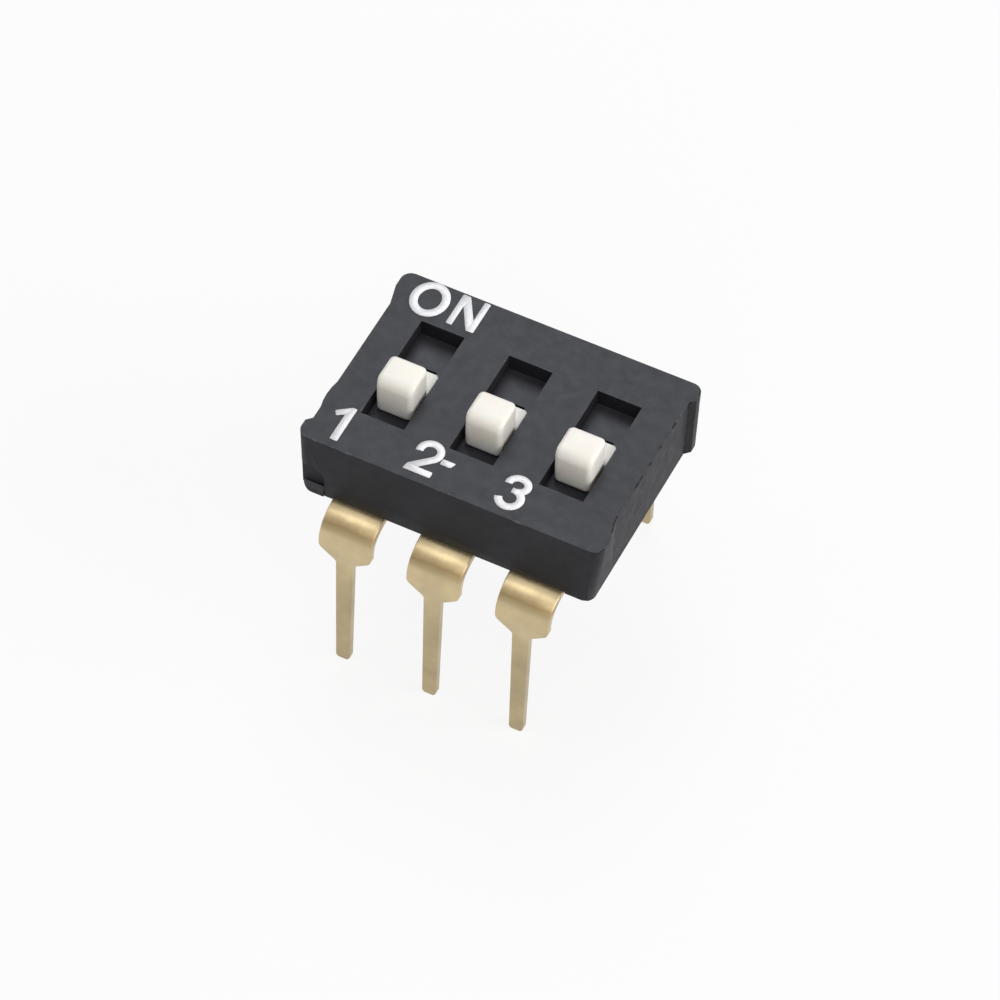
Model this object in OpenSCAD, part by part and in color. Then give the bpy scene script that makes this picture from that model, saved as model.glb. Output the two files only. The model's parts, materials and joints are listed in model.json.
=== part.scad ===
// Three-way slide DIP switch with through-hole pins.
// The origin lies on the board, in the middle of the pin pattern. X runs along the row from position 1
// to position 3, Y points from OFF to ON and Z points away from the board. Every slider is drawn at OFF.

/* [Row] */
// Distance between neighbouring positions
pitch = 2.54; // [2.50:0.02:3.00]
// Distance between the two pin rows, at half the length of the pins
row_spacing = 7.62; // [7.50:0.02:9.00]

/* [Cover] */
// From the outer pockets' centre lines to the ends of the cover
end_margin = 1.77; // [1.69:0.02:2.40]
// Width of the cover across the row
cover_w = 6.15; // [6.00:0.05:6.40]
// Height of the cover from its lower edge to its top face
cover_h = 2.13; // [2.00:0.01:2.80]
// Height of the cover's lower edge above the board
seat_h = 1.36; // [1.20:0.02:2.00]
// Thickness of the cover's walls
cover_wall = 0.45; // [0.35:0.01:0.50]
// Radius of the cover's upright corners
corner_r = 0.30; // [0.10:0.01:0.40]
// Draft of the cover's walls, in degrees
draft = 1.40; // [0.00:0.10:2.00]
// Depth of the shallow recess between the lugs of each end
recess_d = 0.15; // [0.05:0.01:0.18]
// Length of the lugs at the two corners with a latch
lug_l = 0.65; // [0.50:0.01:1.00]
// Length of the slope where these lugs rise out of the recess
lug_slope = 0.15; // [0.10:0.01:0.40]
// Length of the lugs at the two plain corners
plain_lug_l = 1.20; // [0.80:0.01:1.60]
// Length of the slope where the plain lugs rise out of the recess
plain_slope = 0.62; // [0.20:0.01:0.70]
// How far the round mark of the moulding gate stands out of its recess
gate_d = 0.06; // [0.02:0.01:0.09]
// Length of the gate's mark along the end
gate_l = 0.95; // [0.50:0.01:1.10]
// Height of the gate's mark, down from the top face
gate_h = 1.10; // [0.40:0.02:1.80]
// From the gate's mark to the foot of the lug in front of it
gate_gap = 0.40; // [0.10:0.01:0.60]

/* [Pockets] */
// Width of each slider's pocket
pocket_w = 1.25; // [1.15:0.01:1.50]
// Length of each slider's pocket
pocket_l = 3.44; // [3.30:0.02:4.00]
// Depth of each pocket, from the top face to its floor
pocket_d = 0.50; // [0.35:0.01:0.60]
// Thickness of the pockets' floor
floor_t = 0.35; // [0.25:0.01:0.45]

/* [Latches] */
// Width of the notch for a latch, at two opposite corners of the cover
latch_w = 0.78; // [0.60:0.02:0.90]
// Height of the notch above the cover's lower edge
latch_h = 0.95; // [0.70:0.01:1.20]
// Depth of the notch in the cover's side
latch_d = 0.22; // [0.15:0.01:0.28]
// Height of the base's nib in the notch, at its back
nib_h = 0.14; // [0.08:0.01:0.40]
// Height of the nib at the front of its ramp
nib_toe = 0.03; // [0.01:0.01:0.06]
// Radius of the nib's lower outer corner
nib_r = 0.42; // [0.20:0.01:0.50]

/* [Base] */
// How far the base's underside lies above the board
standoff = 0.80; // [0.40:0.02:1.00]
// How far the base's plate is set back from the cover's sides
base_inset = 0.42; // [0.30:0.01:0.44]
// Thickness of the lips that carry the cover's ends
lip_t = 0.12; // [0.08:0.01:0.20]
// Mean thickness of the base's walls at the two ends of a spring's channel
channel_wall = 0.35; // [0.31:0.01:0.45]

/* [Sliders] */
// Width of the knob
knob_w = 1.05; // [0.80:0.01:1.10]
// Length of the knob along its travel
knob_l = 0.98; // [0.80:0.01:1.10]
// Height of the knob above the cover's top face
knob_h = 0.75; // [0.40:0.01:1.20]
// Radius of the knob's upright edges
knob_r = 0.16; // [0.06:0.01:0.25]
// Radius where the knob's top turns into its front
knob_front_r = 0.30; // [0.12:0.01:0.40]
// Radius of the knob's other top edges
knob_top_r = 0.12; // [0.05:0.01:0.20]
// From the middle of the row to the middle of the knob at OFF
knob_off = 0.63; // [0.50:0.01:0.65]
// Length of the slider's tail behind the knob
tail_l = 0.54; // [0.30:0.01:0.56]
// How far the tail reaches forwards along the knob's sides
tail_lap = 0.19; // [0.10:0.01:0.60]
// How far the tail's top lies below the cover's top face
tail_drop = 0.15; // [0.08:0.01:0.25]
// Distance that a slider moves from OFF to ON
travel = 1.25; // [0.90:0.01:1.27]
// Width of the neck that passes through the pocket's floor
neck_w = 0.60; // [0.40:0.02:0.70]
// Length of the neck along its travel
neck_l = 0.40; // [0.34:0.02:0.50]
// How far the neck's middle lies in front of the knob's middle
neck_shift = 0.16; // [0.00:0.01:0.18]
// Radius of the stake that holds the contact spring
stake_r = 0.16; // [0.10:0.01:0.18]
// Radius of the stake's formed head
head_r = 0.28; // [0.22:0.01:0.34]
// Thickness of the stake's formed head
head_t = 0.15; // [0.08:0.01:0.25]

/* [Contact springs] */
// Width of the spring leaf
spring_w = 1.10; // [0.90:0.02:1.20]
// Thickness of the spring leaf
spring_t = 0.10; // [0.06:0.01:0.14]
// Half the length of the leaf's flat middle
spring_flat = 0.42; // [0.36:0.01:0.55]
// Length of the upturned end of a foot
ski_l = 0.18; // [0.10:0.01:0.25]
// Rise of the upturned end of a foot
ski_rise = 0.12; // [0.06:0.01:0.20]

/* [Terminals] */
// Width of the terminal strip
strip_w = 1.50; // [1.20:0.02:1.60]
// Thickness of the terminal strip
strip_t = 0.25; // [0.15:0.01:0.30]
// Inner radius of the strip's bend
bend_r = 0.15; // [0.10:0.01:0.25]
// Height of the taper from the shoulders to the pin
taper_h = 0.36; // [0.25:0.01:0.60]
// Width of the pin where it leaves the shoulders
pin_w = 0.48; // [0.42:0.01:0.60]
// Width of the pin near its tip
tip_w = 0.40; // [0.30:0.01:0.42]
// Length of the pin below the board's surface
pin_l = 3.95; // [2.80:0.05:4.40]
// How far the pins lean outwards, in degrees
splay = 1.60; // [0.00:0.10:4.00]
// Radius of the shoulders' lower corners
shoulder_r = 0.20; // [0.05:0.01:0.25]
// Radius where the shoulders run into the pin
root_r = 0.15; // [0.05:0.01:0.25]
// Radius of the corners at the pin's tip
tip_r = 0.12; // [0.04:0.01:0.14]
// How far a contact pad reaches past the foot that rests on it
pad_over = 0.40; // [0.20:0.02:0.55]

/* [Clearances] */
// Between a slider and the walls that guide it, on each side
slide_gap = 0.04; // [0.02:0.01:0.06]
// Between a slider or its spring and the pocket's floor
lift_gap = 0.02; // [0.01:0.01:0.04]
// Between the neck and the ends of its guide slot, at both ends of the travel
stop_gap = 0.05; // [0.02:0.01:0.08]
// Between a spring's feet and the pads
contact_gap = 0.02; // [0.01:0.01:0.04]
// Between a spring and the walls of its channel
channel_gap = 0.10; // [0.06:0.01:0.14]
// Between the base's plug and the cover
fit_gap = 0.04; // [0.02:0.01:0.06]

/* [Hidden] */
$fn = 48;
positions = 3;
rows = [for (i = [1 : positions]) i];

black = [0.10, 0.10, 0.11];
dark_grey = [0.14, 0.14, 0.15];
white = [0.95, 0.94, 0.91];
gold = [0.80, 0.70, 0.45];

// Overcut for openings that break through a face
cut = 0.5;
// Straight steps in each round corner of a terminal's outline
arc_steps = 6;

// Levels
top_z = seat_h + cover_h;
pocket_z = top_z - pocket_d;
ceiling_z = pocket_z - floor_t;
leaf_z = ceiling_z - lift_gap - spring_t / 2;
foot_z = seat_h + contact_gap + spring_t / 2;

// Plan sizes
cover_l = (positions - 1) * pitch + 2 * end_margin;
cavity_l = cover_l - 2 * (cover_wall + recess_d);
cavity_w = cover_w - 2 * cover_wall;
draft_in = cover_h * tan(draft);
recess_x = cover_l / 2 - recess_d;
// Lean of the plain lugs, which brings them level with the recess at the lower edge
plain_lean = atan((recess_d + draft_in) / cover_h);
lug_y = cover_w / 2 - lug_l;
plain_lug_y = cover_w / 2 - plain_lug_l;
gate_y = gate_gap + gate_l / 2 - lug_y;
gate_r = (pow(gate_l / 2, 2) + pow(gate_d, 2)) / (2 * gate_d);

// Slider and spring along Y, at OFF
knob_y = -knob_off;
neck_y = knob_y - neck_shift;
mid_neck_y = neck_y + travel / 2;
guide_l = neck_l + travel + 2 * stop_gap;
channel_w = spring_w + 2 * channel_gap;
channel_l = cavity_w - 2 * (fit_gap + channel_wall);
// From the leaf's middle to the line where a foot touches, so that the feet stay in the channel
foot_reach = (channel_l - travel) / 2 - ski_l - spring_t / 2 - channel_gap;

// Inner ends of the contact pads: the front pad carries its foot over the whole travel, the rear pad
// meets its foot only at ON
front_pad_y = neck_y + travel - foot_reach + pad_over;
rear_pad_y = neck_y + travel + foot_reach - pad_over;

// Bend of a terminal, with u measured outwards from the row's middle
leaf_mid_r = bend_r + strip_t / 2;
bend_z = seat_h - strip_t - bend_r;
leg_top_z = bend_z + leaf_mid_r * sin(splay);
bend_u = row_spacing / 2 - (leg_top_z + pin_l / 2) * tan(splay) - leaf_mid_r * cos(splay);
leg_l = (leg_top_z + pin_l) / cos(splay) + strip_t;

function slot_x(i) = (i - (positions + 1) / 2) * pitch;

// Rectangle with four round corners, centred
module rounded_rect(l, w, r) {
    square([l - 2 * r, w], center = true);
    square([l, w - 2 * r], center = true);
    for (x = [-1, 1], y = [-1, 1])
        translate([x * (l / 2 - r), y * (w / 2 - r)]) circle(r);
}

// Rectangle that stands on the first axis, with its upper left and upper right corners rounded
module crowned_rect(w, h, left_r, right_r) {
    translate([-w / 2, 0]) square([left_r, h - left_r]);
    translate([w / 2 - right_r, 0]) square([right_r, h - right_r]);
    translate([-w / 2 + left_r, 0]) square([w - left_r - right_r, h]);
    translate([-w / 2 + left_r, h - left_r]) circle(left_r);
    translate([w / 2 - right_r, h - right_r]) circle(right_r);
}

// Extrudes a profile drawn in X and Z along Y, centred
module along_y(depth) {
    rotate([90, 0, 0]) linear_extrude(depth, center = true) children();
}

// Extrudes a profile drawn in Y and Z along X, centred
module along_x(width) {
    rotate([90, 0, 90]) linear_extrude(width, center = true) children();
}

// The same shape at both ends, turned half a turn
module at_both_ends() {
    for (turn = [0, 180]) rotate(turn) children();
}

// Upright prism of the cover's outline, turned about its top edge at the right end
module leaning_prism(lean) {
    translate([cover_l / 2, 0, top_z]) rotate([0, lean, 0]) translate([-cover_l / 2, 0, -2 * cover_h])
        linear_extrude(2 * cover_h + cut) rounded_rect(cover_l, cover_w, corner_r);
}

// Shallow recess in the right end, between the plain lug in front and the lug with a latch behind
module end_recess() {
    translate([recess_x, 0, top_z]) rotate([0, draft, 0]) translate([0, 0, -2 * cover_h])
        linear_extrude(2 * cover_h + cut) polygon([
            [0, -plain_lug_y],
            [0, lug_y],
            [2 * recess_d, lug_y + 2 * lug_slope],
            [2 * recess_d, -plain_lug_y - 2 * plain_slope]
        ]);
}

// Space outside the plain lug at the front right corner, which leans in towards the lower edge
module lean_cut() {
    difference() {
        translate([0, -cover_w / 2 - cut, seat_h - cut]) cube([cover_l, plain_lug_l + cut, cover_h + cut]);
        leaning_prism(plain_lean);
    }
}

// Profile of the cover's walls, which come in towards the lower edge
module draft_profile(w) {
    polygon([
        [-w / 2, top_z],
        [w / 2, top_z],
        [w / 2 - draft_in, seat_h],
        [draft_in - w / 2, seat_h]
    ]);
}

// Notch for a latch at the front left corner, open at the bottom and at the end
module latch_notch() {
    translate([(latch_w - cut - cover_l) / 2, (latch_d - cut - cover_w) / 2, seat_h - cut])
        along_y(latch_d + cut) crowned_rect(latch_w + cut, latch_h + cut, nib_r, nib_r);
}

// Nib of the base in that notch: a ramp on top, and a round lower outer corner
module latch_nib() {
    nib_w = latch_w - slide_gap;
    nib_back_y = -cover_w / 2 + latch_d - slide_gap;
    low_z = seat_h - lip_t;
    rise = nib_h + lip_t;
    intersection() {
        translate([-cover_l / 2, 0, low_z]) along_y(2 * cover_w) intersection() {
            square([nib_w, rise]);
            union() {
                translate([nib_r, 0]) square([nib_w, rise]);
                translate([0, nib_r]) square([nib_w, rise]);
                translate([nib_r, nib_r]) circle(nib_r);
            }
        }
        along_x(2 * cover_l) polygon([
            [-cover_w / 2, low_z],
            [nib_back_y, low_z],
            [nib_back_y, seat_h + nib_h],
            [-cover_w / 2, seat_h + nib_toe]
        ]);
        linear_extrude(top_z) rounded_rect(cover_l - 2 * draft_in, cover_w - 2 * draft_in, corner_r);
    }
}

// Block with drafted walls, whose upright edges are round at the two corners with a latch
module drafted_block() {
    corner_x = cover_l / 2 - corner_r;
    corner_y = cover_w / 2 - corner_r;
    difference() {
        intersection() {
            along_x(2 * cover_l) draft_profile(cover_w);
            along_y(2 * cover_w) draft_profile(cover_l);
        }
        at_both_ends() translate([corner_x, corner_y, seat_h - cut])
            cube([2 * corner_r, 2 * corner_r, cover_h + 2 * cut]);
    }
    at_both_ends() translate([corner_x, corner_y, seat_h])
        cylinder(r1 = corner_r - draft_in, r2 = corner_r, h = cover_h);
}

// Mark of the moulding gate: a low round bulge in the recess of the left end
module gate_mark() {
    translate([0, gate_y, top_z - gate_h]) intersection() {
        translate([-recess_x - gate_d, -gate_l, 0]) cube([gate_d + cover_wall / 2, 2 * gate_l, gate_h]);
        translate([gate_r - gate_d - recess_x, 0, 0]) cylinder(r = gate_r, h = gate_h);
    }
}

// Outer form of the cover: drafted walls, end recesses, leaning plain lugs and the gate's mark
module cover_shell() {
    difference() {
        drafted_block();
        at_both_ends() {
            end_recess();
            lean_cut();
        }
    }
    gate_mark();
}

module cover() {
    color(black) difference() {
        cover_shell();
        translate([-cavity_l / 2, -cavity_w / 2, seat_h - cut])
            cube([cavity_l, cavity_w, ceiling_z - seat_h + cut]);
        for (i = rows) translate([slot_x(i), 0, 0]) {
            translate([-pocket_w / 2, -pocket_l / 2, pocket_z]) cube([pocket_w, pocket_l, pocket_d + cut]);
            translate([-neck_w / 2 - slide_gap, mid_neck_y - guide_l / 2, ceiling_z - cut])
                cube([neck_w + 2 * slide_gap, guide_l, floor_t + 2 * cut]);
        }
        at_both_ends() latch_notch();
    }
}

// Lips beside the outer terminals, on which the ends of the cover stand
module end_lips() {
    inner = slot_x(positions) + strip_w / 2 + fit_gap;
    inset = draft_in + fit_gap;
    translate([0, 0, seat_h - lip_t]) linear_extrude(lip_t) difference() {
        rounded_rect(2 * (recess_x - inset), cover_w - 2 * inset, corner_r);
        square([2 * inner, 2 * cover_w], center = true);
        at_both_ends() translate([-cover_l / 2, -cover_w / 2]) square(nib_r);
    }
}

module base() {
    plate_l = cover_l - 2 * base_inset;
    plate_w = cover_w - 2 * base_inset;
    plug_h = ceiling_z - seat_h - fit_gap;
    color(dark_grey) difference() {
        union() {
            translate([0, 0, standoff]) linear_extrude(seat_h - standoff)
                rounded_rect(plate_l, plate_w, corner_r);
            translate([-cavity_l / 2 + fit_gap, -cavity_w / 2 + fit_gap, seat_h])
                cube([cavity_l - 2 * fit_gap, cavity_w - 2 * fit_gap, plug_h]);
            end_lips();
            at_both_ends() latch_nib();
        }
        for (i = rows) translate([slot_x(i), 0, 0]) {
            translate([-channel_w / 2, mid_neck_y - channel_l / 2, seat_h])
                cube([channel_w, channel_l, plug_h + cut]);
            translate([-strip_w / 2, -cover_w, seat_h - strip_t])
                cube([strip_w, cover_w + front_pad_y, strip_t]);
            translate([-strip_w / 2, rear_pad_y, seat_h - strip_t])
                cube([strip_w, cover_w - rear_pad_y, strip_t]);
        }
    }
}

module slider(i) {
    slider_z = pocket_z + lift_gap;
    tail_z = top_z - tail_drop;
    tail_w = pocket_w - 2 * slide_gap;
    tail_y = knob_y + (knob_l + tail_l - tail_lap) / 2;
    neck_z = ceiling_z - lift_gap;
    knob_rise = top_z + knob_h - slider_z;
    color(white) translate([slot_x(i), 0, 0]) {
        translate([0, tail_y, slider_z])
            linear_extrude(tail_z - slider_z) rounded_rect(tail_w, tail_l + tail_lap, knob_top_r);
        translate([0, knob_y, slider_z]) intersection() {
            linear_extrude(knob_rise) rounded_rect(knob_w, knob_l, knob_r);
            along_x(knob_w) crowned_rect(knob_l, knob_rise, knob_front_r, knob_top_r);
            along_y(knob_l) crowned_rect(knob_w, knob_rise, knob_top_r, knob_top_r);
        }
        translate([-neck_w / 2, neck_y - neck_l / 2, neck_z]) cube([neck_w, neck_l, tail_z - neck_z]);
        translate([0, neck_y, neck_z - spring_t]) cylinder(r = stake_r, h = spring_t + floor_t);
        translate([0, neck_y, neck_z - spring_t - head_t]) cylinder(r = head_r, h = head_t);
    }
}

// Bent strip along a list of points, with round bends and ends
module bent_strip(points, t) {
    for (k = [1 : len(points) - 1]) {
        step = points[k] - points[k - 1];
        translate(points[k - 1]) rotate(atan2(step[1], step[0]))
            translate([0, -t / 2]) square([norm(step), t]);
    }
    for (p = points) translate(p) circle(t / 2);
}

module contact_spring(i) {
    half = [
        [spring_flat, leaf_z],
        [foot_reach, foot_z],
        [foot_reach + ski_l, foot_z + ski_rise]
    ];
    other_half = [for (k = [2, 1, 0]) [-half[k][0], half[k][1]]];
    color(gold) translate([slot_x(i), neck_y, 0]) difference() {
        along_x(spring_w) bent_strip(concat(other_half, half), spring_t);
        translate([0, 0, leaf_z - spring_t]) cylinder(r = stake_r + lift_gap, h = 2 * spring_t);
    }
}

// Region under a bent strip whose face lies r from the centre of its bend
module under_bend(pad_u, r) {
    translate([pad_u, -leg_l]) square([bend_u - pad_u, leg_l + bend_z + r]);
    translate([bend_u, bend_z]) {
        circle(r);
        rotate(splay) translate([-r, -leg_l]) square([2 * r, leg_l]);
    }
}

// Terminal seen from the side: pad and strip, bend and leg
module terminal_side(pad_u) {
    difference() {
        under_bend(pad_u, bend_r + strip_t);
        under_bend(pad_u - cut, bend_r);
    }
}

// Points on an arc, from one angle to another
function arc(centre, r, from, to) = [
    for (k = [0 : arc_steps])
        let (angle = from + (to - from) * k / arc_steps)
        centre + r * [cos(angle), sin(angle)]
];

// Terminal seen from the front: wide strip, tapering shoulders, and a pin that narrows to a round tip
module terminal_front() {
    a = strip_w / 2;
    b = pin_w / 2;
    c = tip_w / 2;
    turn = atan((a - b) / taper_h);
    right = concat(
        [[a, top_z]],
        arc([a - shoulder_r, taper_h + shoulder_r * tan(turn / 2)], shoulder_r, 0, -turn),
        arc([b + root_r, -root_r * tan(turn / 2)], root_r, 180 - turn, 180),
        arc([c - tip_r, tip_r - pin_l], tip_r, 0, -90)
    );
    left = [for (k = [len(right) - 1 : -1 : 0]) [-right[k][0], right[k][1]]];
    polygon(concat(right, left));
}

// Terminal of position i, with its pad's inner end at pad_u and its leg on the +Y side
module terminal(i, pad_u) {
    color(gold) translate([slot_x(i), 0, 0]) intersection() {
        along_x(strip_w) terminal_side(pad_u);
        along_y(2 * row_spacing) terminal_front();
    }
}

cover();
base();
for (i = rows) {
    slider(i);
    contact_spring(i);
    mirror([0, 1, 0]) terminal(i, -front_pad_y);
    terminal(i, rear_pad_y);
}
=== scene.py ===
"""Three-way slide DIP switch: its finishes, print, rounded mouldings and a plain studio."""

import json
import math

import bmesh
import bpy
from bpy.props import FloatProperty, FloatVectorProperty, PointerProperty
from mathutils import Matrix, Quaternion, Vector

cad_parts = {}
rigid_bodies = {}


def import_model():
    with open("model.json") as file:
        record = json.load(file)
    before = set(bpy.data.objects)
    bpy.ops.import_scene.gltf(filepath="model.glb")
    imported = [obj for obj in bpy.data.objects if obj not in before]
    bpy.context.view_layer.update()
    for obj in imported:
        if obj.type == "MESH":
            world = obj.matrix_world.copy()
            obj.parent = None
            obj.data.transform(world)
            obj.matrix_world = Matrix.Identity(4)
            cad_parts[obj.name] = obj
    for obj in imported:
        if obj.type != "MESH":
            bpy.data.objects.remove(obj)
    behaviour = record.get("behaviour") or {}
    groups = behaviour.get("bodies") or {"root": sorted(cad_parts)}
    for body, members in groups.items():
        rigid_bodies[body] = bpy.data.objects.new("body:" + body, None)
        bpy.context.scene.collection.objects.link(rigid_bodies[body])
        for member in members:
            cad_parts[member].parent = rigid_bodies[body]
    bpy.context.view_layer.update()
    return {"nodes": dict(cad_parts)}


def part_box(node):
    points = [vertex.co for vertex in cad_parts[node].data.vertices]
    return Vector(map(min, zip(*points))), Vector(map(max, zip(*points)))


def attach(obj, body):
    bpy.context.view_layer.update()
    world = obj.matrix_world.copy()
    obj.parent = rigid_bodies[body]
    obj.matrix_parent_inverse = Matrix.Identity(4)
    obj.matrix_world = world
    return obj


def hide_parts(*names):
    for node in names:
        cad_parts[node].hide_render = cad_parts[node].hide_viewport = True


bl_info = {
    "name": "Slide DIP switch",
    "version": (1, 0, 0),
    "blender": (4, 5, 0),
    "location": "3D View > Sidebar > DIP switch",
    "description": "Finishes, print and studio for a three-way slide DIP switch",
    "category": "Object",
}

MM = 0.001
POSITIONS = (1, 2, 3)
# The two rows of terminals, and the side of the switch on which each stands along Y
ROWS = {"front": -1.0, "rear": 1.0}


def clear_scene():
    """Empties the start-up scene, so that only the switch and its stage are left."""
    for thing in list(bpy.data.objects):
        bpy.data.objects.remove(thing)


clear_scene()
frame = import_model()
COVER_LOW, COVER_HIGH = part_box("cover")
TOP_Z = COVER_HIGH.z
SEAT_Z = COVER_LOW.z
PIN_TIP_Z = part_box("front_terminal_1")[0].z


# Settings

def length(name, description, millimetres):
    """Property for a size, written in millimetres and kept in metres."""
    return FloatProperty(
        name=name, description=description, subtype="DISTANCE", unit="LENGTH", precision=6,
        default=millimetres * MM,
    )


def colour(name, description, red, green, blue):
    """Property for a colour."""
    return FloatVectorProperty(
        name=name, description=description, subtype="COLOR", size=3, min=0.0, max=1.0,
        default=(red, green, blue),
    )


def angle(name, description, degrees):
    """Property for an angle, written in degrees and kept in radians."""
    return FloatProperty(
        name=name, description=description, subtype="ANGLE", unit="ROTATION",
        default=math.radians(degrees),
    )


class DipSwitchFinish(bpy.types.PropertyGroup):
    """Colours and edge sizes of the switch's own pieces, and the colour of the painted shade on the
    terminals' bends.
    """

    cover_colour: colour("Cover", "Black of the cover's moulding", 0.016, 0.016, 0.019)
    base_colour: colour("Base", "Black of the base's moulding", 0.028, 0.028, 0.030)
    slider_colour: colour("Sliders", "Warm white of the sliders", 0.92, 0.885, 0.82)
    plating_colour: colour("Plating", "Pale gold of the terminals", 0.595, 0.48, 0.285)
    # Painted shade: the brown of the band across the terminals' bends, which stands in for the dark
    # reflection that the bends show
    bend_shade_colour: colour("Dull band", "Brown of the dull band on the bends", 0.35, 0.255, 0.125)
    spring_colour: colour("Springs", "Gold of the contact springs", 0.72, 0.55, 0.25)
    ink_colour: colour("Print", "White of the printed marks", 0.94, 0.94, 0.98)
    cover_edge: length("Cover edge", "Rounding of the cover's edges", 0.05)
    base_edge: length("Base edge", "Rounding of the base's edges", 0.06)
    ink_height: length("Ink", "Height of the print above the top face", 0.012)


class DipSwitchSlider(bpy.types.PropertyGroup):
    """Sizes of a slider, beside its box."""

    knob_width: length("Knob width", "Width of the knob", 1.05)
    knob_length: length("Knob length", "Length of the knob along its travel", 0.98)
    upright_round: length("Upright edges", "Radius of the knob's upright edges", 0.16)
    front_round: length("Front edge", "Radius where the knob's top turns into its front", 0.30)
    top_round: length("Top edges", "Radius of the knob's other top edges", 0.12)
    foot: length("Foot", "Depth of the slider's underside below the cover's top face", 0.48)
    foot_round: length("Foot edges", "Radius of the knob's lower edges", 0.14)
    tail_drop: length("Tail drop", "Depth of the tail's top below the cover's top face", 0.15)
    tail_lap: length("Tail lap", "How far the tail reaches along the knob's sides", 0.19)
    neck_width: length("Neck width", "Width of the neck through the pocket's floor", 0.60)
    neck_length: length("Neck length", "Length of the neck along the travel", 0.40)
    neck_shift: length("Neck shift", "How far the neck lies in front of the knob's middle", 0.16)
    neck_foot: length("Neck foot", "Depth of the neck's underside below the cover's top face", 0.87)
    stake_radius: length("Stake", "Radius of the stake through the contact spring", 0.16)
    head_radius: length("Head", "Radius of the stake's formed head", 0.28)
    head_height: length("Head height", "Height of the stake's formed head", 0.15)
    small_round: length("Small edges", "Radius of the tail's and neck's edges", 0.03)


class DipSwitchTerminal(bpy.types.PropertyGroup):
    """Sizes of a terminal, beside its box."""

    row_spacing: length("Row spacing", "Distance between the pin rows at half the pins' length", 7.62)
    width: length("Strip width", "Width of the strip", 1.50)
    thickness: length("Thickness", "Thickness of the strip", 0.25)
    slope: angle("Slope", "How far the strip slopes down where it leaves the cover", 15.0)
    slope_bend: length("Slope bend", "Radius of the strip's first, gentle bend", 0.50)
    bend: length("Bend", "Inner radius of the strip's bend", 0.55)
    splay: angle("Splay", "How far the pins lean outwards", 1.6)
    taper: length("Taper", "Height of the taper from the shoulders to the pin", 0.36)
    pin_width: length("Pin width", "Width of the pin at the shoulders", 0.48)
    tip_width: length("Tip width", "Width of the pin near its tip", 0.40)
    shoulder_round: length("Shoulders", "Radius of the shoulders' lower corners", 0.20)
    root_round: length("Root", "Radius where the shoulders run into the pin", 0.15)
    tip_round: length("Tip", "Radius of the corners at the pin's tip", 0.12)
    edge_round: length("Edges", "Radius of the stamped edges", 0.035)
    # Where and over what height the band of painted shade lies across the bends
    shade_band_drop: length("Dull drop", "Depth of the bend's dull band below the cover's lower edge", 0.25)
    shade_band_reach: length("Dull reach", "Height over which the dull band fades", 0.20)


class DipSwitchStage(bpy.types.PropertyGroup):
    """Camera, sky and floor."""

    azimuth: angle("Azimuth", "Camera's turn from the switch's front towards its right end", 25.14)
    elevation: angle("Elevation", "Camera's height as an angle", 51.80)
    roll: angle("Roll", "Camera's turn about its own axis", 1.71)
    distance: length("Distance", "From the camera to its target on the top face", 141.15)
    target_x: length("Target X", "Point on the top face in the picture's middle", 1.272)
    target_y: length("Target Y", "Point on the top face in the picture's middle", -2.631)
    lens: FloatProperty(
        name="Lens", description="Focal length for a 36 mm wide picture", subtype="DISTANCE_CAMERA",
        unit="CAMERA", default=201.25,
    )
    floor_size: length("Floor", "Length of the floor's sides", 1200.0)
    floor_white: FloatProperty(
        name="White floor", description="Share of plain white in what the camera sees of the floor",
        default=0.85, min=0.0, max=1.0,
    )
    sky: FloatProperty(
        name="Sky", description="Strength of the even light all round", default=0.25, min=0.0,
    )


# Finishes

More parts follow.
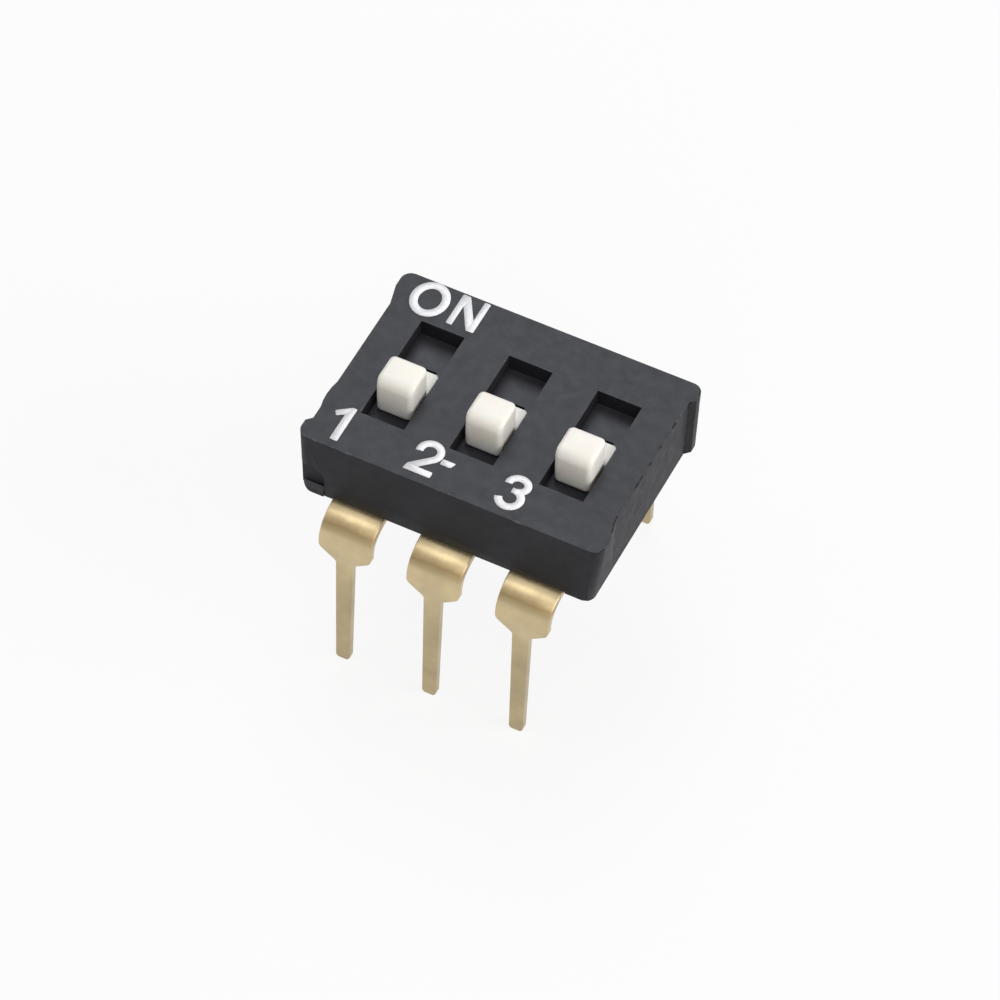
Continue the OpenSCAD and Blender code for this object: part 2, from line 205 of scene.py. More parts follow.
class Shader:
    """Small helper that builds a node material round one Principled shader."""

    def __init__(self, name):
        self.material = bpy.data.materials.new(name)
        self.material.use_nodes = True
        self.nodes = self.material.node_tree.nodes
        self.links = self.material.node_tree.links
        self.nodes.clear()
        self.output = self.nodes.new("ShaderNodeOutputMaterial")
        self.surface = self.nodes.new("ShaderNodeBsdfPrincipled")
        self.links.new(self.surface.outputs["BSDF"], self.output.inputs["Surface"])
        self.place = self.nodes.new("ShaderNodeTexCoord").outputs["Object"]

    def set(self, **values):
        """Sets sockets of the Principled shader that are the same all over the surface."""
        for key, value in values.items():
            self.surface.inputs[key.replace("_", " ")].default_value = value

    def feed(self, socket, value):
        """Links a value that varies over the surface to a socket of the Principled shader."""
        self.links.new(value, self.surface.inputs[socket])

    def stretched(self, scale):
        """Object coordinates, stretched by a scale along each axis."""
        mapping = self.nodes.new("ShaderNodeMapping")
        mapping.inputs["Scale"].default_value = scale
        self.links.new(self.place, mapping.inputs["Vector"])
        return mapping.outputs["Vector"]

    def noise(self, grain, detail=3.0, roughness=0.55, vector=None):
        """Noise whose grains are that many metres wide."""
        node = self.nodes.new("ShaderNodeTexNoise")
        node.inputs["Scale"].default_value = 1.0 / grain
        node.inputs["Detail"].default_value = detail
        node.inputs["Roughness"].default_value = roughness
        self.links.new(vector or self.place, node.inputs["Vector"])
        return node.outputs["Fac"]

    def spread(self, value, low, high, start=0.3, end=0.7):
        """Maps a value from start to end onto the range from low to high."""
        node = self.nodes.new("ShaderNodeMapRange")
        node.inputs["From Min"].default_value = start
        node.inputs["From Max"].default_value = end
        node.inputs["To Min"].default_value = low
        node.inputs["To Max"].default_value = high
        self.links.new(value, node.inputs["Value"])
        return node.outputs["Result"]

    def combine(self, operation, first, second):
        """Two varying values in one."""
        node = self.nodes.new("ShaderNodeMath")
        node.operation = operation
        self.links.new(first, node.inputs[0])
        self.links.new(second, node.inputs[1])
        return node.outputs[0]

    def product(self, first, *others):
        """Several varying values, multiplied together."""
        for other in others:
            first = self.combine("MULTIPLY", first, other)
        return first

    def between(self, value, first, second):
        """Colour that runs from the first to the second as value runs from 0 to 1."""
        node = self.nodes.new("ShaderNodeMix")
        node.data_type = "RGBA"
        # Sockets 6 and 7 of this node hold its two colours, and output 2 is the colour between them
        for socket, side in ((node.inputs[6], first), (node.inputs[7], second)):
            if isinstance(side, bpy.types.NodeSocket):
                self.links.new(side, socket)
            else:
                socket.default_value = (*side, 1.0)
        self.links.new(value, node.inputs[0])
        return node.outputs[2]

    def edges(self, reach):
        """1 at a sharp edge and 0 away from it, over that many metres."""
        soft = self.nodes.new("ShaderNodeBevel")
        soft.samples = 4
        soft.inputs["Radius"].default_value = reach
        plain = self.nodes.new("ShaderNodeNewGeometry")
        likeness = self.nodes.new("ShaderNodeVectorMath")
        likeness.operation = "DOT_PRODUCT"
        self.links.new(soft.outputs["Normal"], likeness.inputs[0])
        self.links.new(plain.outputs["Normal"], likeness.inputs[1])
        # Cosine between the softened and the plain normal: 0.99 is still flat and 0.86 is an edge
        return self.spread(likeness.outputs["Value"], 0.0, 1.0, 0.99, 0.86)

    def axis(self, name):
        """Object coordinate along one axis."""
        split = self.nodes.new("ShaderNodeSeparateXYZ")
        self.links.new(self.place, split.inputs["Vector"])
        return split.outputs[name]

    def along(self, name, start, end):
        """0 before start and 1 past end, along one axis."""
        return self.spread(self.axis(name), 0.0, 1.0, start, end)

    def upward(self):
        """0 on upright faces and 1 on level ones that look up."""
        normal = self.nodes.new("ShaderNodeNewGeometry").outputs["Normal"]
        split = self.nodes.new("ShaderNodeSeparateXYZ")
        self.links.new(normal, split.inputs["Vector"])
        return self.spread(split.outputs["Z"], 0.0, 1.0, 0.3, 0.9)

    def band(self, height, reach):
        """1 along a wavering level line at that height and 0 a reach away from it."""
        waver = self.spread(self.noise(0.35 * MM, 3.0, 0.6), -0.02 * MM, 0.02 * MM)
        level = self.combine("ADD", self.axis("Z"), waver)
        rise = self.spread(level, 0.0, 1.0, height - reach, height)
        fall = self.spread(level, 1.0, 0.0, height, height + reach)
        return self.product(rise, fall)

    def bump(self, height, depth, strength=1.0, onto=None):
        """Raises the surface by height times depth, in metres."""
        node = self.nodes.new("ShaderNodeBump")
        node.inputs["Strength"].default_value = strength
        node.inputs["Distance"].default_value = depth
        self.links.new(height, node.inputs["Height"])
        if onto is not None:
            self.links.new(onto, node.inputs["Normal"])
        return node.outputs["Normal"]


def shade(tone, factor):
    """The same colour, lighter or darker."""
    return tuple(min(1.0, channel * factor) for channel in tone)


def moulded_black(name, tone):
    """Satin black moulding: matt sides, smoother level faces, flow marks, painted light on level faces
    below the top, rubbed edges with painted highlights, and painted shade along the right end's edges.
    """
    look = Shader(name)
    level = look.upward()
    rim = look.edges(0.10 * MM)

    # Flow marks all over, and painted light on the level faces below the top, such as the pockets'
    # floors, which are painted paler
    flow = look.spread(look.noise(1.6 * MM, 4.0), 0.0, 1.0)
    clean = look.between(flow, shade(tone, 0.86), shade(tone, 1.18))
    below_top = look.along("Z", TOP_Z - 0.15 * MM, TOP_Z - 0.35 * MM)
    body = look.between(look.product(level, below_top), clean, shade(tone, 1.9))

    # Edges of the top, rubbed pale in patches: partly wear, and partly painted highlights on the edges
    patches = look.spread(look.noise(0.45 * MM, 4.0, 0.65), 0.0, 1.0, 0.56, 0.70)
    near_top = look.along("Z", TOP_Z - 0.25 * MM, TOP_Z - 0.15 * MM)
    rubbed_and_highlit = look.between(look.product(rim, patches, near_top), body, shade(tone, 8.0))

    # Painted shade in dark patches along the edges of the right end
    shade_patches = look.spread(look.noise(0.28 * MM, 3.0, 0.6), 0.0, 1.0, 0.50, 0.44)
    right_end = look.along("X", COVER_HIGH.x - 1.1 * MM, COVER_HIGH.x - 0.5 * MM)
    painted_edge_shade = look.product(rim, shade_patches, right_end)
    look.feed("Base Color", look.between(painted_edge_shade, rubbed_and_highlit, shade(tone, 0.2)))

    # Level faces are smoother and shine more, and the painted shade along the right end doesn't shine
    shine = look.spread(level, 0.18, 0.32, 0.0, 1.0)
    unshaded_edges = look.spread(painted_edge_shade, 1.0, 0.0, 0.0, 1.0)
    look.feed("Specular IOR Level", look.product(shine, unshaded_edges))
    matt = look.spread(look.noise(0.35 * MM, 5.0, 0.65), 0.49, 0.61)
    smoother = look.spread(level, 0.0, 0.12, 0.0, 1.0)
    look.feed("Roughness", look.combine("SUBTRACT", matt, smoother))
    grain = look.bump(look.noise(0.03 * MM, 2.0), 0.002 * MM, 0.55)
    look.feed("Normal", look.bump(look.noise(0.5 * MM, 2.0), 0.004 * MM, 0.2, grain))
    look.set(Specular_Tint=(0.90, 0.92, 1.0, 1.0))
    return look.material


def moulded_white(name, tone):
    """Warm white moulding, slightly translucent, with faint flow marks."""
    look = Shader(name)
    flow = look.spread(look.noise(0.45 * MM, 3.0), 0.0, 1.0)
    look.feed("Base Color", look.between(flow, shade(tone, 0.97), shade(tone, 1.02)))
    look.feed("Roughness", look.spread(look.noise(0.12 * MM, 4.0), 0.34, 0.48))
    look.feed("Normal", look.bump(look.noise(0.05 * MM, 2.0), 0.002 * MM, 0.4))
    look.set(
        Specular_IOR_Level=0.5,
        Subsurface_Weight=0.35,
        Subsurface_Radius=(1.0, 0.62, 0.32),
        Subsurface_Scale=0.4 * MM,
    )
    return look.material


def plated_strip(name, tone, painted_shade_band=None, painted_shade_tone=None):
    """Pale gold plating on rolled strip: rolling lines, tarnish, fine pits, and a band of painted shade
    across a bend.
    """
    look = Shader(name)

    # Tarnish in patches, and darker towards the pins' tips
    mottle = look.spread(look.noise(0.7 * MM, 4.0, 0.6), 0.0, 1.0, 0.35, 0.65)
    bright = look.between(mottle, shade(tone, 0.93), shade(tone, 1.07))
    dull = look.between(mottle, shade(tone, 0.68), shade(tone, 0.80))
    metal = look.between(look.along("Z", -1.2 * MM, 0.5 * MM), dull, bright)
    # Painted shade: a darker, browner band across each bend, standing in for the dark reflection that the
    # bend's curve shows there
    if painted_shade_band is not None:
        metal = look.between(look.band(*painted_shade_band), metal, painted_shade_tone)
    look.feed("Base Color", metal)

    # Rolling lines along the strip, with fine pits over them
    rolled = look.noise(0.05 * MM, 2.0, 0.5, look.stretched((1.0, 0.12, 0.12)))
    look.feed("Roughness", look.spread(rolled, 0.29, 0.36))
    lines = look.bump(rolled, 0.0003 * MM, 0.5)
    look.feed("Normal", look.bump(look.noise(0.09 * MM, 3.0), 0.001 * MM, 0.35, lines))
    look.set(Metallic=1.0)
    return look.material


def printed_ink(name, tone):
    """Matt white ink with a little unevenness in its cover."""
    look = Shader(name)
    cover = look.spread(look.noise(0.10 * MM, 4.0), 0.0, 1.0)
    look.feed("Base Color", look.between(cover, shade(tone, 0.92), shade(tone, 1.04)))
    look.feed("Roughness", look.spread(look.noise(0.06 * MM, 3.0), 0.45, 0.65))
    look.feed("Normal", look.bump(look.noise(0.04 * MM, 2.0), 0.002 * MM, 0.4))
    return look.material


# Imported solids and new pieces

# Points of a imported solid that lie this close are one
WELD_GAP = 0.0005 * MM
# Edges at which the surface turns by more than this are rounded
SHARP_TURN = math.radians(40.0)


def dress(node, material):
    """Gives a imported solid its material."""
    if node not in frame["nodes"]:
        raise RuntimeError(f"the frame holds no solid named {node}")
    solid = frame["nodes"][node]
    if not solid.material_slots:
        raise RuntimeError(f"{node} has no material slot to dress")
    for holder in solid.material_slots:
        holder.material = material
    return solid


def round_edges(solid, radius, steps=3):
    """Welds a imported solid's faces together and rounds its sharp edges, as modifiers."""
    weld = solid.modifiers.new("weld", "WELD")
    weld.merge_threshold = WELD_GAP
    bevel = solid.modifiers.new("round edges", "BEVEL")
    bevel.width = radius
    bevel.segments = steps
    bevel.limit_method = "ANGLE"
    bevel.angle_limit = SHARP_TURN
    bevel.harden_normals = True
    bevel.miter_outer = "MITER_ARC"


def loft(mesh, rings, closed=False):
    """Skin over rings of points: capped at both ends, or closed into a loop."""
    loops = [[mesh.verts.new(point) for point in ring] for ring in rings]
    pairs = list(zip(loops, loops[1:]))
    if closed:
        pairs.append((loops[-1], loops[0]))
    count = len(loops[0])
    for lower, upper in pairs:
        for i in range(count):
            j = (i + 1) % count
            mesh.faces.new((lower[i], lower[j], upper[j], upper[i]))
    if not closed:
        mesh.faces.new(list(reversed(loops[0])))
        mesh.faces.new(loops[-1])


def add_piece(name, mesh, material, body, replaced=()):
    """Turns a finished mesh into a piece of the switch that rides on a body."""
    if not mesh.faces:
        raise RuntimeError(f"{name} came out with no faces")
    bmesh.ops.recalc_face_normals(mesh, faces=mesh.faces[:])
    for face in mesh.faces:
        face.smooth = True
    data = bpy.data.meshes.new(name)
    mesh.to_mesh(data)
    mesh.free()
    data.materials.append(material)
    piece = bpy.data.objects.new(name, data)
    bpy.context.scene.collection.objects.link(piece)
    even = piece.modifiers.new("even normals", "WEIGHTED_NORMAL")
    even.keep_sharp = False
    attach(piece, body)
    if replaced:
        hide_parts(*replaced)
    return piece


# Outlines and rings

def turns_between(start, end, steps):
    """Evenly spaced angles in radians, from one angle in degrees to another."""
    return [math.radians(start + (end - start) * step / steps) for step in range(steps + 1)]


def ellipse_points(x, y, rx, ry, start, end, steps):
    """Points on part of an ellipse, with its angles in degrees."""
    return [
        (x + rx * math.cos(turn), y + ry * math.sin(turn))
        for turn in turns_between(start, end, steps)
    ]


def arc_points(x, y, radius, start, end, steps):
    """Points on an arc, with its angles in degrees."""
    return ellipse_points(x, y, radius, radius, start, end, steps)


def round_rect(x0, x1, y0, y1, radius, steps=6):
    """Rectangle with round corners, anticlockwise, as (x, y) pairs."""
    radius = min(radius, (x1 - x0) / 2.0, (y1 - y0) / 2.0)
    corners = (
        (x1 - radius, y0 + radius, -90.0),
        (x1 - radius, y1 - radius, 0.0),
        (x0 + radius, y1 - radius, 90.0),
        (x0 + radius, y0 + radius, 180.0),
    )
    points = []
    for x, y, start in corners:
        points += arc_points(x, y, radius, start, start + 90.0, steps)
    return points


def inset(height, top, radius):
    """How far an edge of that radius has come in at a height below the top."""
    rise = max(0.0, height - (top - radius))
    return radius - math.sqrt(max(0.0, radius * radius - rise * rise))


def arc_heights(top, radius, steps):
    """Heights that divide a round top edge evenly."""
    return [top - radius + radius * math.sin(turn) for turn in turns_between(0.0, 90.0, steps)]


def foot_steps(low, radius, steps):
    """Height and inset of each step up a round lower edge."""
    return [
        (low + radius * (1.0 - math.cos(turn)), radius * (1.0 - math.sin(turn)))
        for turn in turns_between(0.0, 90.0, steps)
    ]


# Sliders

def block_rings(x0, x1, y0, y1, low, high, upright, small):
    """Rings of an upright block with round upright edges and small round top and bottom edges."""
    steps = foot_steps(low, small, 3)
    steps += [(low + high - height, come_in) for height, come_in in reversed(steps)]
    rings = []
    for height, come_in in steps:
        # A corner stays a little round, however far the ring has come in
        corner = max(upright - come_in, 0.2 * small)
        outline = round_rect(x0 + come_in, x1 - come_in, y0 + come_in, y1 - come_in, corner)
        rings.append([(x, y, height) for x, y in outline])
    return rings


def knob_rings(size, middle_x, middle_y, low, top):
    """Rings of the knob, whose top edges are round and whose front edge is rounder."""
    heights = set(arc_heights(top, size.front_round, 10)) | set(arc_heights(top, size.top_round, 6))
    steps = foot_steps(low, size.foot_round, 6)
    steps += [(height, 0.0) for height in sorted(heights)]
    half_x, half_y = size.knob_width / 2.0, size.knob_length / 2.0
    rings = []
    for height, come_in in steps:
        side = inset(height, top, size.top_round) + come_in
        front = inset(height, top, size.front_round) + come_in
        outline = round_rect(
            middle_x - half_x + side, middle_x + half_x - side,
            middle_y - half_y + front, middle_y + half_y - side,
            max(size.upright_round - side, size.small_round),
        )
        rings.append([(x, y, height) for x, y in outline])
    return rings


def stake_rings(size, x, y, low, high):
    """Rings of the stake under the neck, with its formed head."""
    rim = size.small_round
    head_top = low + size.head_height
    # Height and radius, from the head's rounded underside up into the neck
    profile = [
        (low, size.head_radius - 2.0 * rim),
        (low + 0.3 * rim, size.head_radius - rim),
        (low + rim, size.head_radius - 0.3 * rim),
        (low + 2.0 * rim, size.head_radius),
        (head_top, size.head_radius),
        (head_top, size.stake_radius),
        (high, size.stake_radius),
    ]
    sides = 32
    rings = []
    for height, radius in profile:
        circle = arc_points(x, y, radius, 0.0, 360.0, sides)[:sides]
        rings.append([(*point, height) for point in circle])
    return rings


def build_slider(size, node):
    """Mesh of one slider: knob, tail, neck and the stake that holds the contact spring."""
    low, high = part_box(node)
    middle_x = (low.x + high.x) / 2.0
    knob_y = low.y + size.knob_length / 2.0
    tail_front = low.y + size.knob_length - size.tail_lap
    neck_x, neck_y = size.neck_width / 2.0, size.neck_length / 2.0
    stake_y = knob_y - size.neck_shift
    foot, tail_top = TOP_Z - size.foot, TOP_Z - size.tail_drop
    neck_foot = TOP_Z - size.neck_foot
    mesh = bmesh.new()
    loft(mesh, knob_rings(size, middle_x, knob_y, foot, high.z))
    loft(mesh, block_rings(
        low.x, high.x, tail_front, high.y, foot, tail_top, size.top_round, size.small_round,
    ))
    loft(mesh, block_rings(
        middle_x - neck_x, middle_x + neck_x, stake_y - neck_y, stake_y + neck_y,
        neck_foot, tail_top, size.small_round, size.small_round,
    ))
    loft(mesh, stake_rings(size, middle_x, stake_y, low.z, neck_foot + size.small_round))
    return mesh


# Terminals

def leg_outline(size):
    """Half width and height of a terminal's leg, from its shoulders down to its tip."""
    wide, root, tip = size.width / 2.0, size.pin_width / 2.0, size.tip_width / 2.0
    turn = math.degrees(math.atan((wide - root) / size.taper))
    tangent = math.tan(math.radians(turn / 2.0))
    shoulder_z = size.taper + size.shoulder_round * tangent
    shoulder = arc_points(wide - size.shoulder_round, shoulder_z, size.shoulder_round, 0.0, -turn, 10)
    root_z = -size.root_round * tangent
    root_arc = arc_points(root + size.root_round, root_z, size.root_round, 180.0 - turn, 180.0, 8)
    tip_z = PIN_TIP_Z + size.tip_round
    tip_arc = arc_points(tip - size.tip_round, tip_z, size.tip_round, 0.0, -90.0, 14)
    return shoulder + root_arc + tip_arc


def bend_stations(centre_u, centre_z, radius, start, end, steps, half):
    """Stations round a bend, as its face turns from one lean to another."""
    stations = []
    for step in range(steps + 1):
        lean = start + (end - start) * step / steps
        reach, height = centre_u + radius * math.cos(lean), centre_z + radius * math.sin(lean)
        stations.append((reach, height, lean, half))
    return stations


def strip_stations(size, inner):
    """Stations along a terminal's middle line: reach, height, lean of its face and half width."""
    half = size.width / 2.0
    pad_z = SEAT_Z - size.thickness / 2.0
    upright, sloped = math.pi / 2.0, math.pi / 2.0 - size.slope

    # The strip starts to slope just inside the cover's lower edge
    start_u = COVER_HIGH.y - 0.3 * size.thickness
    slope_u = start_u + size.slope_bend * math.cos(sloped)
    slope_z = pad_z - size.slope_bend * (1.0 - math.sin(sloped))

    # The main bend ends in the leg, whose pin crosses its row's line at half the pin's length
    middle_r = size.bend + size.thickness / 2.0
    row_u = size.row_spacing / 2.0 + (PIN_TIP_Z - SEAT_Z) / 2.0 * math.tan(size.splay)
    bend_u = row_u - middle_r * math.cos(size.splay)
    meet_u = bend_u + middle_r * math.cos(sloped)
    bend_z = slope_z - (meet_u - slope_u) * math.tan(size.slope) - middle_r * math.sin(sloped)

    stations = [(inner, pad_z, upright, half)]
    stations += bend_stations(start_u, pad_z - size.slope_bend, size.slope_bend, upright, sloped, 6, half)
    stations += bend_stations(bend_u, bend_z, middle_r, sloped, size.splay, 14, half)
    leg_u, leg_z = stations[-1][:2]
    for width, height in leg_outline(size):
        stations.append((leg_u + (leg_z - height) * math.tan(size.splay), height, size.splay, width))
    return stations


def build_terminal(size, node, side):
    """Mesh of one terminal: a stamped strip with round edges, bent down into a pin."""
    low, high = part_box(node)
    middle_x = (low.x + high.x) / 2.0
    inner = min(abs(low.y), abs(high.y))
    half_t = size.thickness / 2.0
    edge = size.edge_round
    rings = []
    for reach, height, lean, half in strip_stations(size, inner):
        # The tip's end is rounded through its thickness, as a top edge turned upside down
        come_in = inset(2.0 * PIN_TIP_Z - height, PIN_TIP_Z, edge)
        outline = round_rect(-half, half, come_in - half_t, half_t - come_in, edge, 4)
        rings.append([
            (middle_x + x, side * (reach + depth * math.cos(lean)), height + depth * math.sin(lean))
            for x, depth in outline
        ])
    mesh = bmesh.new()
    loft(mesh, rings)
    return mesh


# Print, with its outlines in millimetres on the top face

# How far the ink reaches into the top face, and how far one stroke lies above another that it crosses
INK_SINK = 0.001 * MM
INK_LAYER = 0.0005 * MM
# Radius of the marks' corners, in millimetres as their outlines are
INK_CORNER = 0.035


def ribbon(mesh, points, width, low, high, closed=False):
    """Flat stroke along points, as wide as given and cut square at its ends."""
    rings = []
    count = len(points)
    for i, (x, y) in enumerate(points):
        if closed:
            before, after = points[i - 1], points[(i + 1) % count]
        else:
            before, after = points[max(i - 1, 0)], points[min(i + 1, count - 1)]
        along = (Vector(after) - Vector(before)).normalized()
        across = Vector((-along.y, along.x)) * width / 2.0
        left, right = Vector((x, y)) + across, Vector((x, y)) - across
        rings.append([
            (left.x * MM, left.y * MM, low), (right.x * MM, right.y * MM, low),
            (right.x * MM, right.y * MM, high), (left.x * MM, left.y * MM, high),
        ])
    loft(mesh, rings, closed)


def softened(outline, radius, steps=4):
    """Closed outline with its corners rounded off, each over less than half of its sides."""
    result = []
    count = len(outline)
    for i, corner in enumerate(outline):
        corner = Vector(corner)
        ends = []
        for neighbour in (Vector(outline[i - 1]), Vector(outline[(i + 1) % count])):
            gap = neighbour - corner
            ends.append(corner + gap * min(0.45, radius / gap.length))
        for step in range(steps + 1):
            t = step / steps
            result.append(tuple(ends[0] * (1 - t) ** 2 + corner * 2 * t * (1 - t) + ends[1] * t * t))
    return result


def plate(mesh, outline, low, high):
    """Flat mark of that outline, with soft corners."""
    soft = softened(outline, INK_CORNER)
    loft(mesh, [[(x * MM, y * MM, height) for x, y in soft] for height in (low, high)])


def build_on(low, high):
    """The word at the end of the pockets to which the sliders are pushed."""
    mesh = bmesh.new()
    # The last of the 48 points stops one step short, because the stroke closes by itself
    ring = ellipse_points(-3.30, 2.465, 0.415, 0.485, 0.0, 352.5, 47)
    ribbon(mesh, ring, 0.225, low, high, closed=True)
    plate(mesh, [
        (-2.59, 1.95), (-2.42, 1.95), (-2.42, 2.66), (-2.01, 1.95), (-1.80, 1.95),
        (-1.80, 3.02), (-1.97, 3.02), (-1.97, 2.33), (-2.38, 3.02), (-2.59, 3.02),
    ], low, high)
    return mesh


def build_one(low, high):
    """The first numeral: a stem with a flag."""
    mesh = bmesh.new()
    plate(mesh, [
        (-3.48, -2.84), (-3.27, -2.84), (-3.27, -1.68), (-3.40, -1.68),
        (-3.77, -1.95), (-3.68, -2.09), (-3.48, -1.96),
    ], low, high)
    return mesh


def build_two(low, high):
    """The second numeral: a bowl that runs down to a straight foot."""
    mesh = bmesh.new()
    bowl = ellipse_points(-0.99, -2.06, 0.28, 0.27, 195.0, -47.0, 28)
    ribbon(mesh, bowl + [(-1.29, -2.70)], 0.20, low, high)
    foot = [(-1.40, -2.83), (-0.63, -2.83), (-0.63, -2.64), (-1.36, -2.64)]
    plate(mesh, foot, low, high + INK_LAYER)
    return mesh


def build_dash(low, high):
    """The stray dash that the print left after the second numeral."""
    mesh = bmesh.new()
    plate(mesh, [(-0.60, -2.30), (-0.30, -2.30), (-0.23, -2.12), (-0.60, -2.12)], low, high)
    return mesh


def build_three(low, high):
    """The third numeral: two bowls and the short bar between them."""
    mesh = bmesh.new()
    upper = ellipse_points(1.48, -2.00, 0.26, 0.22, 190.0, -80.0, 26)
    ribbon(mesh, upper, 0.20, low, high)
    lower = ellipse_points(1.46, -2.47, 0.29, 0.28, 78.0, -168.0, 26)
    ribbon(mesh, lower, 0.21, low, high + INK_LAYER)
    bar = [(1.40, -2.205), (1.60, -2.205)]
    ribbon(mesh, bar, 0.16, low, high + 2.0 * INK_LAYER)
    return mesh


MARKS = {
    "print_on": build_on,
    "print_1": build_one,
    "print_2": build_two,
    "print_dash": build_dash,
    "print_3": build_three,
}


# Steps that dress the switch

class DIPSWITCH_OT_cover(bpy.types.Operator):
    """Finishes the black cover"""

    bl_idname = "dip_switch.cover"
    bl_label = "Cover"

    def execute(self, context):
        finish = context.scene.dip_switch_finish
        solid = dress("cover", moulded_black("cover moulding", finish.cover_colour))
        round_edges(solid, finish.cover_edge)
        return {"FINISHED"}


class DIPSWITCH_OT_print(bpy.types.Operator):
    """Prints the marks on the cover's top face"""

    bl_idname = "dip_switch.marks"
    bl_label = "Print"

    def execute(self, context):
        finish = context.scene.dip_switch_finish
        material = printed_ink("white ink", finish.ink_colour)
        # The record has no slot for ink, and the marks are given none
        for name, build in MARKS.items():
            mesh = build(TOP_Z - INK_SINK, TOP_Z + finish.ink_height)
            add_piece(name, mesh, material, "housing")
        return {"FINISHED"}


class DIPSWITCH_OT_base(bpy.types.Operator):
    """Finishes the black base under the cover"""

    bl_idname = "dip_switch.base"
    bl_label = "Base"

    def execute(self, context):
        finish = context.scene.dip_switch_finish
        solid = dress("base", moulded_black("base moulding", finish.base_colour))
        round_edges(solid, finish.base_edge)
        return {"FINISHED"}


class DIPSWITCH_OT_sliders(bpy.types.Operator):
    """Builds the white sliders with their soft moulded edges"""

    bl_idname = "dip_switch.sliders"
    bl_label = "Sliders"

    def execute(self, context):
        material = moulded_white("slider moulding", context.scene.dip_switch_finish.slider_colour)
        for position in POSITIONS:
            node = f"slider_{position}"
            mesh = build_slider(context.scene.dip_switch_slider, node)
            add_piece(f"moulded_{node}", mesh, material, f"slide_{position}", [node])
        return {"FINISHED"}


class DIPSWITCH_OT_springs(bpy.types.Operator):
    """Finishes the contact springs under the sliders"""

    bl_idname = "dip_switch.springs"
    bl_label = "Contact springs"

    def execute(self, context):
        material = plated_strip("spring plating", context.scene.dip_switch_finish.spring_colour)
        for position in POSITIONS:
            dress(f"contact_spring_{position}", material)
        return {"FINISHED"}


class DIPSWITCH_OT_terminals(bpy.types.Operator):
    """Builds the stamped and bent terminals of both rows"""

    bl_idname = "dip_switch.terminals"
    bl_label = "Terminals"

    def execute(self, context):
        finish, size = context.scene.dip_switch_finish, context.scene.dip_switch_terminal
        # Height and reach of the painted shade across the bends
        painted_shade_band = (SEAT_Z - size.shade_band_drop, size.shade_band_reach)
        material = plated_strip(
            "terminal plating", finish.plating_colour, painted_shade_band, finish.bend_shade_colour,
        )
        for row, side in ROWS.items():
            for position in POSITIONS:
                node = f"{row}_terminal_{position}"
                mesh = build_terminal(size, node, side)
                add_piece(f"stamped_{node}", mesh, material, "housing", [node])
        return {"FINISHED"}


# Stage

SENSOR_WIDTH = 36.0
CAMERA_NEAR = 5.0 * MM
CAMERA_FAR = 10.0
WHITE_LIGHT = (1.0, 1.0, 1.0)
COOL_LIGHT = (0.96, 0.98, 1.0)
WARM_LIGHT = (1.0, 0.97, 0.93)

# Each softbox: azimuth and elevation in degrees, distance and side in metres, radiance and tint
SOFTBOXES = {
    "key_softbox": (97.0, 25.0, 0.16, 0.12, 3.6, WHITE_LIGHT),
    "top_softbox": (205.0, 54.0, 0.16, 0.09, 3.2, COOL_LIGHT),
    "front_softbox": (30.0, 45.0, 0.20, 0.16, 1.6, WARM_LIGHT),
    "overhead_softbox": (-60.0, 73.0, 0.20, 0.08, 1.8, WHITE_LIGHT),
    "left_softbox": (-75.0, 22.0, 0.20, 0.08, 1.5, WHITE_LIGHT),
}


def direction(azimuth, elevation):
    """Unit vector from the switch towards a camera or a lamp."""
    flat = math.cos(elevation)
    return Vector((math.sin(azimuth) * flat, -math.cos(azimuth) * flat, math.sin(elevation)))


def add_camera(stage):
    """Camera at the photo's angle."""
    back = direction(stage.azimuth, stage.elevation)
    target = Vector((stage.target_x, stage.target_y, TOP_Z))
    data = bpy.data.cameras.new("photo_camera")
    data.sensor_width = SENSOR_WIDTH
    data.lens = stage.lens
    data.clip_start = CAMERA_NEAR
    data.clip_end = CAMERA_FAR
    camera = bpy.data.objects.new("photo_camera", data)
    turn = back.to_track_quat("Z", "Y") @ Quaternion((0.0, 0.0, 1.0), stage.roll)
    camera.matrix_world = Matrix.Translation(target + back * stage.distance) @ turn.to_matrix().to_4x4()
    bpy.context.scene.collection.objects.link(camera)
    bpy.context.scene.camera = camera


def add_softbox(name, azimuth, elevation, distance, side, radiance, tint):
    """Square area lamp that looks at the switch and shows that radiance."""
    data = bpy.data.lights.new(name, "AREA")
    data.color = tint
    data.shape = "SQUARE"
    data.size = side
    data.energy = radiance * math.pi * side * side
    lamp = bpy.data.objects.new(name, data)
    back = direction(math.radians(azimuth), math.radians(elevation))
    turn = back.to_track_quat("Z", "Y").to_matrix().to_4x4()
    lamp.matrix_world = Matrix.Translation(back * distance) @ turn
    bpy.context.scene.collection.objects.link(lamp)


def seen_directly(nodes, links):
    """1 for rays from the camera, from reflections and through clear things, and 0 for light itself."""
    path = nodes.new("ShaderNodeLightPath")
    total = path.outputs["Is Camera Ray"]
    for other in ("Is Glossy Ray", "Is Transmission Ray"):
        add = nodes.new("ShaderNodeMath")
        add.operation = "ADD"
        add.use_clamp = True
        links.new(total, add.inputs[0])
        links.new(path.outputs[other], add.inputs[1])
        total = add.outputs[0]
    return total


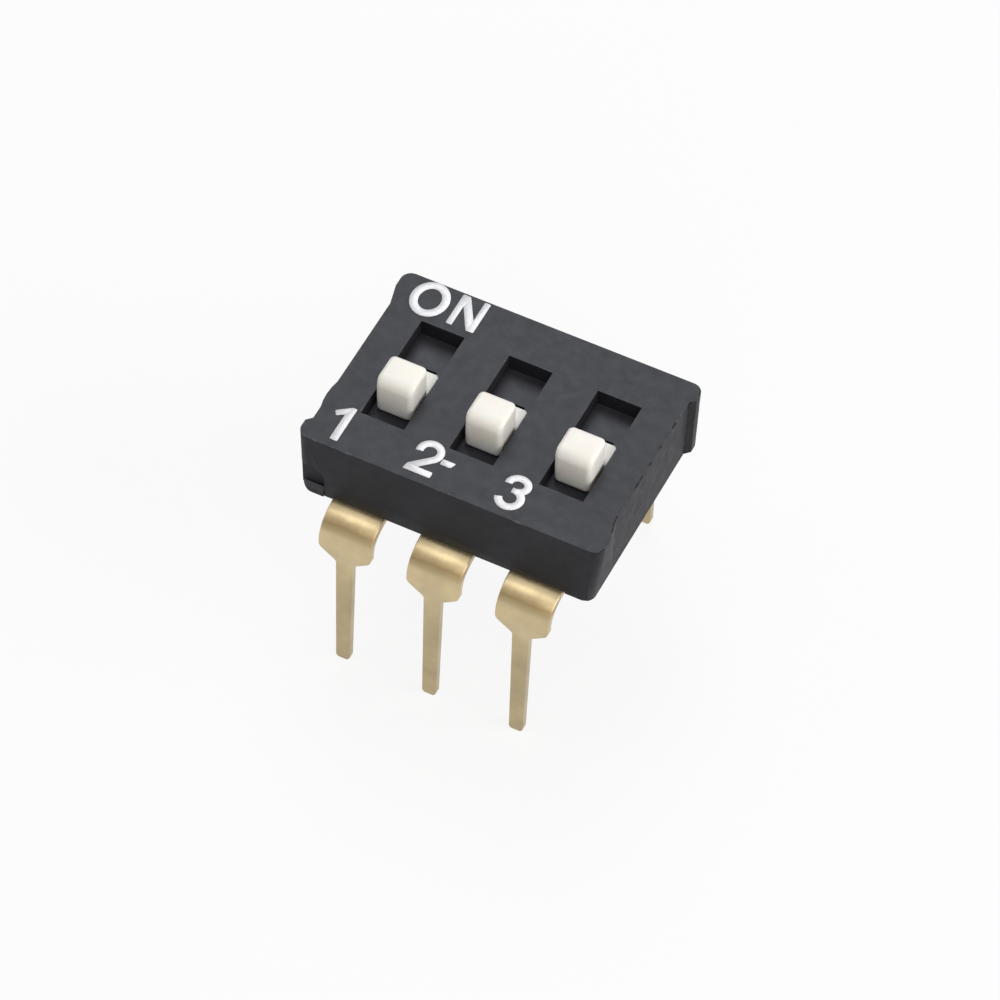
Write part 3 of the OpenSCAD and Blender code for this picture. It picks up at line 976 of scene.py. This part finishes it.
def add_floor(stage):
    """Pale floor under the pins, which keeps a soft shadow."""
    half = stage.floor_size / 2.0
    corners = [(-half, -half), (half, -half), (half, half), (-half, half)]
    mesh = bpy.data.meshes.new("floor")
    mesh.from_pydata([(x, y, PIN_TIP_Z) for x, y in corners], [], [(0, 1, 2, 3)])
    floor = bpy.data.objects.new("floor", mesh)
    bpy.context.scene.collection.objects.link(floor)
    look = Shader("floor")
    look.set(Base_Color=(0.90, 0.90, 0.90, 1.0), Roughness=0.9, Specular_IOR_Level=0.1)
    white = look.nodes.new("ShaderNodeEmission")
    mix = look.nodes.new("ShaderNodeMixShader")
    share = look.spread(seen_directly(look.nodes, look.links), 0.0, stage.floor_white, 0.0, 1.0)
    look.links.new(share, mix.inputs["Fac"])
    look.links.new(look.surface.outputs["BSDF"], mix.inputs[1])
    look.links.new(white.outputs["Emission"], mix.inputs[2])
    look.links.new(mix.outputs["Shader"], look.output.inputs["Surface"])
    mesh.materials.append(look.material)


def add_sky(stage):
    """Even light all round, which the camera and reflections see as white."""
    world = bpy.data.worlds.new("studio")
    bpy.context.scene.world = world
    world.use_nodes = True
    nodes, links = world.node_tree.nodes, world.node_tree.links
    nodes.clear()
    output = nodes.new("ShaderNodeOutputWorld")
    even = nodes.new("ShaderNodeBackground")
    even.inputs["Strength"].default_value = stage.sky
    white = nodes.new("ShaderNodeBackground")
    white.inputs["Strength"].default_value = 1.0
    mix = nodes.new("ShaderNodeMixShader")
    links.new(seen_directly(nodes, links), mix.inputs["Fac"])
    links.new(even.outputs["Background"], mix.inputs[1])
    links.new(white.outputs["Background"], mix.inputs[2])
    links.new(mix.outputs["Shader"], output.inputs["Surface"])


class DIPSWITCH_OT_stage(bpy.types.Operator):
    """Sets up the floor, the lamps and the camera"""

    bl_idname = "dip_switch.stage"
    bl_label = "Stage"

    def execute(self, context):
        stage = context.scene.dip_switch_stage
        context.scene.view_settings.view_transform = "Standard"
        add_floor(stage)
        add_sky(stage)
        for name, settings in SOFTBOXES.items():
            add_softbox(name, *settings)
        add_camera(stage)
        return {"FINISHED"}


# Panel and registration

STEPS = (
    DIPSWITCH_OT_cover,
    DIPSWITCH_OT_print,
    DIPSWITCH_OT_base,
    DIPSWITCH_OT_sliders,
    DIPSWITCH_OT_springs,
    DIPSWITCH_OT_terminals,
    DIPSWITCH_OT_stage,
)


class DIPSWITCH_PT_panel(bpy.types.Panel):
    """Lists the steps that dress the switch"""

    bl_label = "DIP switch"
    bl_idname = "DIPSWITCH_PT_panel"
    bl_space_type = "VIEW_3D"
    bl_region_type = "UI"
    bl_category = "DIP switch"

    def draw(self, context):
        for step in STEPS:
            self.layout.operator(step.bl_idname)


SETTINGS = {
    "dip_switch_finish": DipSwitchFinish,
    "dip_switch_slider": DipSwitchSlider,
    "dip_switch_terminal": DipSwitchTerminal,
    "dip_switch_stage": DipSwitchStage,
}
CLASSES = (*SETTINGS.values(), *STEPS, DIPSWITCH_PT_panel)


def register():
    """Registers the classes and hangs the settings on the scene."""
    for item in CLASSES:
        bpy.utils.register_class(item)
    for name, group in SETTINGS.items():
        setattr(bpy.types.Scene, name, PointerProperty(type=group))


def unregister():
    """Takes the settings off the scene and unregisters the classes."""
    for name in SETTINGS:
        delattr(bpy.types.Scene, name)
    for item in reversed(CLASSES):
        bpy.utils.unregister_class(item)


def finished(result):
    """Stops the script if a step didn't finish."""
    if result != {"FINISHED"}:
        raise RuntimeError(f"a step ended with {result}")


def main():
    """Dresses the switch step by step."""
    register()
    finished(bpy.ops.dip_switch.cover())
    finished(bpy.ops.dip_switch.marks())
    finished(bpy.ops.dip_switch.base())
    finished(bpy.ops.dip_switch.sliders())
    finished(bpy.ops.dip_switch.springs())
    finished(bpy.ops.dip_switch.terminals())
    finished(bpy.ops.dip_switch.stage())


if __name__ == "__main__":
    main()
